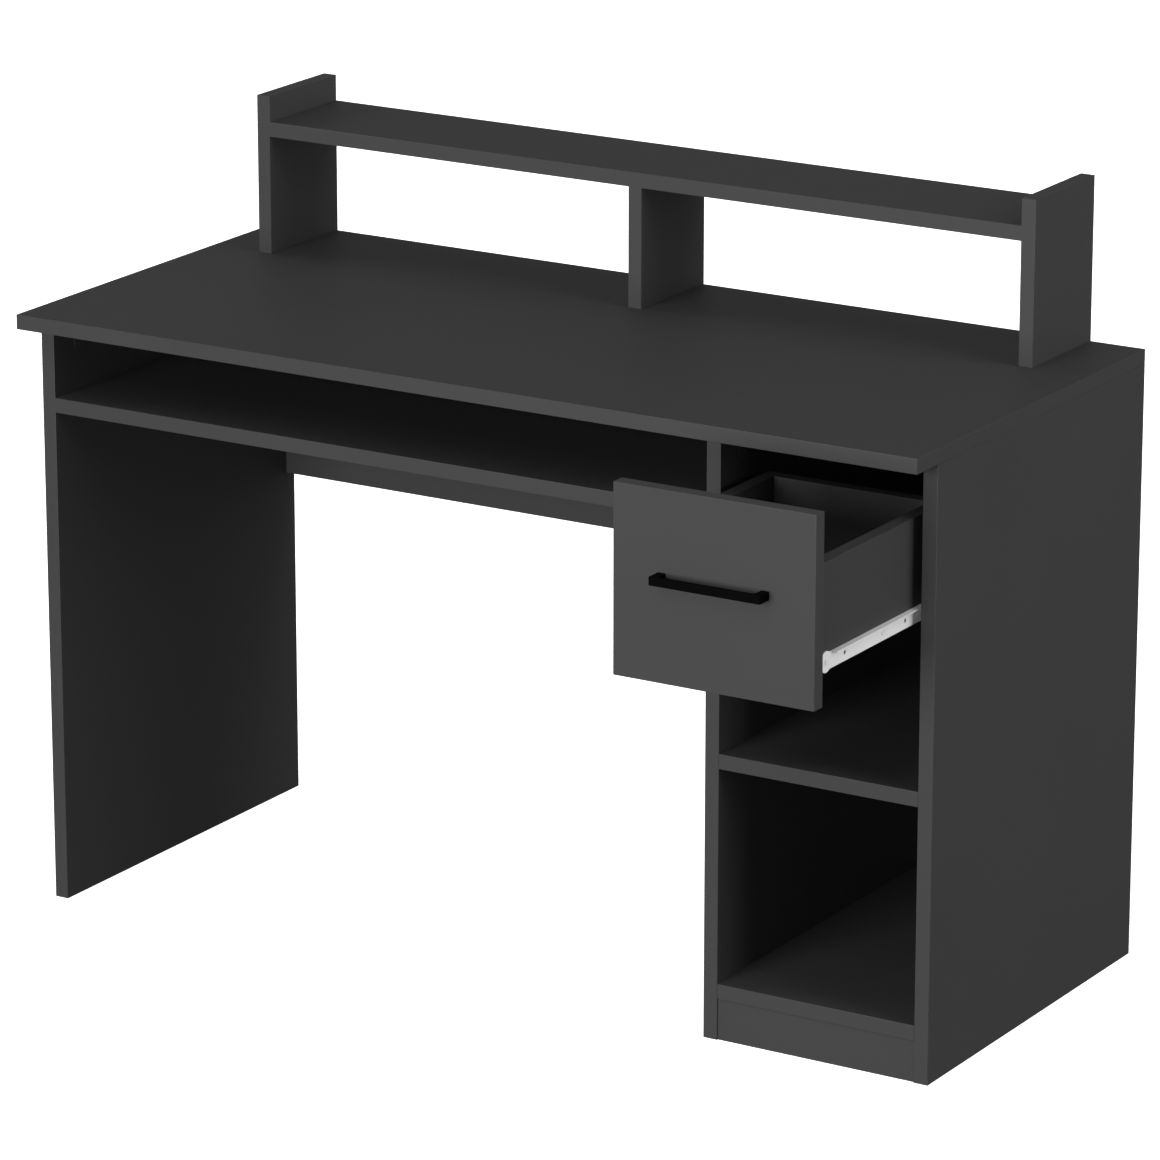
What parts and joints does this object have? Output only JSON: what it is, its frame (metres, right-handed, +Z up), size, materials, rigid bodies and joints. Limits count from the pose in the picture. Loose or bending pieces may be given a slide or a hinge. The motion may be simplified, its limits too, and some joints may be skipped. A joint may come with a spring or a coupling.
{
  "type": "computer desk with keyboard shelf",
  "caption": "Panel desk with a keyboard shelf under the top, an open pedestal with a drawer on roller slides, and a low shelf on uprights along the rear.",
  "frame": {"origin": "centre of the bounding box's base, on the floor, measured with the drawer fully open as drawn", "axes": "+X to the user's right, +Y from the user towards the rear, +Z up"},
  "size_m": [1.2, 0.753, 0.934],
  "materials": {
    "melamine_board": "matte anthracite melamine on chipboard",
    "edging": "matte anthracite plastic edging",
    "hardboard": "painted hardboard",
    "dowel_wood": "plain beech",
    "zinc_steel": "zinc-plated steel",
    "zinc_alloy": "cast zinc alloy",
    "slide_white": "white epoxy paint on steel",
    "screw_white": "white-painted steel",
    "nylon": "white nylon",
    "handle_black": "matte black powder coat"
  },
  "bodies": {
    "desk": {"desktop": "melamine_board", "left_side_panel": "melamine_board", "partition_panel": "melamine_board", "right_side_panel": "melamine_board", "rear_panel": "melamine_board", "keyboard_shelf": "melamine_board", "pedestal_shelf": "melamine_board", "pedestal_bottom": "melamine_board", "plinth": "melamine_board", "pedestal_back_panel": "hardboard", "hutch_left_upright": "melamine_board", "hutch_right_upright": "melamine_board", "hutch_divider": "melamine_board", "hutch_shelf": "melamine_board", "desktop_edging": "edging", "panel_edging": "edging", "shelf_edging": "edging", "hutch_edging": "edging", "case_cam_bolts": "zinc_steel", "case_cam_locks": "zinc_alloy", "case_dowels": "dowel_wood", "hutch_cam_bolts": "zinc_steel", "hutch_cam_locks": "zinc_alloy", "hutch_dowels": "dowel_wood", "back_panel_nails": "zinc_steel", "case_cam_covers": "edging", "hutch_cam_covers": "edging", "cabinet_slide_left": "slide_white", "cabinet_slide_right": "slide_white", "cabinet_slide_screws": "zinc_steel", "cabinet_roller_axles": "zinc_steel"},
    "drawer": {"drawer_cam_covers": "edging", "drawer_front": "melamine_board", "drawer_front_edging": "edging", "drawer_left_side": "melamine_board", "drawer_right_side": "melamine_board", "drawer_back": "melamine_board", "drawer_bottom": "hardboard", "handle": "handle_black", "handle_screws": "zinc_steel", "drawer_cam_bolts": "zinc_steel", "drawer_cam_locks": "zinc_alloy", "drawer_dowels": "dowel_wood", "drawer_back_screws": "zinc_steel", "drawer_slide_left": "slide_white", "drawer_slide_right": "slide_white", "drawer_slide_screws": "screw_white", "drawer_roller_axles": "zinc_steel"},
    "cabinet_roller_left": {"cabinet_roller_left": "nylon"},
    "cabinet_roller_right": {"cabinet_roller_right": "nylon"},
    "drawer_roller_left": {"drawer_roller_left": "nylon"},
    "drawer_roller_right": {"drawer_roller_right": "nylon"}
  },
  "joints": [
    {"name": "drawer_travel", "type": "slide", "parent": "desk", "child": "drawer", "axis": [0, -1, 0], "range_m": [-0.233, 0]},
    {"name": "cabinet_roller_left_spin", "type": "hinge", "parent": "desk", "child": "cabinet_roller_left", "pos_m": [0.3332, -0.0935, 0.5405], "axis": [1, 0, 0], "range_deg": [-1300, 5]},
    {"name": "cabinet_roller_right_spin", "type": "hinge", "parent": "desk", "child": "cabinet_roller_right", "pos_m": [0.5768, -0.0935, 0.5405], "axis": [1, 0, 0], "range_deg": [-1300, 5]},
    {"name": "drawer_roller_left_spin", "type": "hinge", "parent": "drawer", "child": "drawer_roller_left", "pos_m": [0.3353, -0.0525, 0.5382], "axis": [1, 0, 0], "range_deg": [-1300, 5]},
    {"name": "drawer_roller_right_spin", "type": "hinge", "parent": "drawer", "child": "drawer_roller_right", "pos_m": [0.5747, -0.0525, 0.5382], "axis": [1, 0, 0], "range_deg": [-1300, 5]}
  ],
  "couplings": [
    {"joint": "cabinet_roller_left_spin", "follows": "drawer_travel", "rad_per_m": 97.087},
    {"joint": "cabinet_roller_right_spin", "follows": "drawer_travel", "rad_per_m": 97.087},
    {"joint": "drawer_roller_left_spin", "follows": "drawer_travel", "rad_per_m": 97.087},
    {"joint": "drawer_roller_right_spin", "follows": "drawer_travel", "rad_per_m": 97.087}
  ]
}
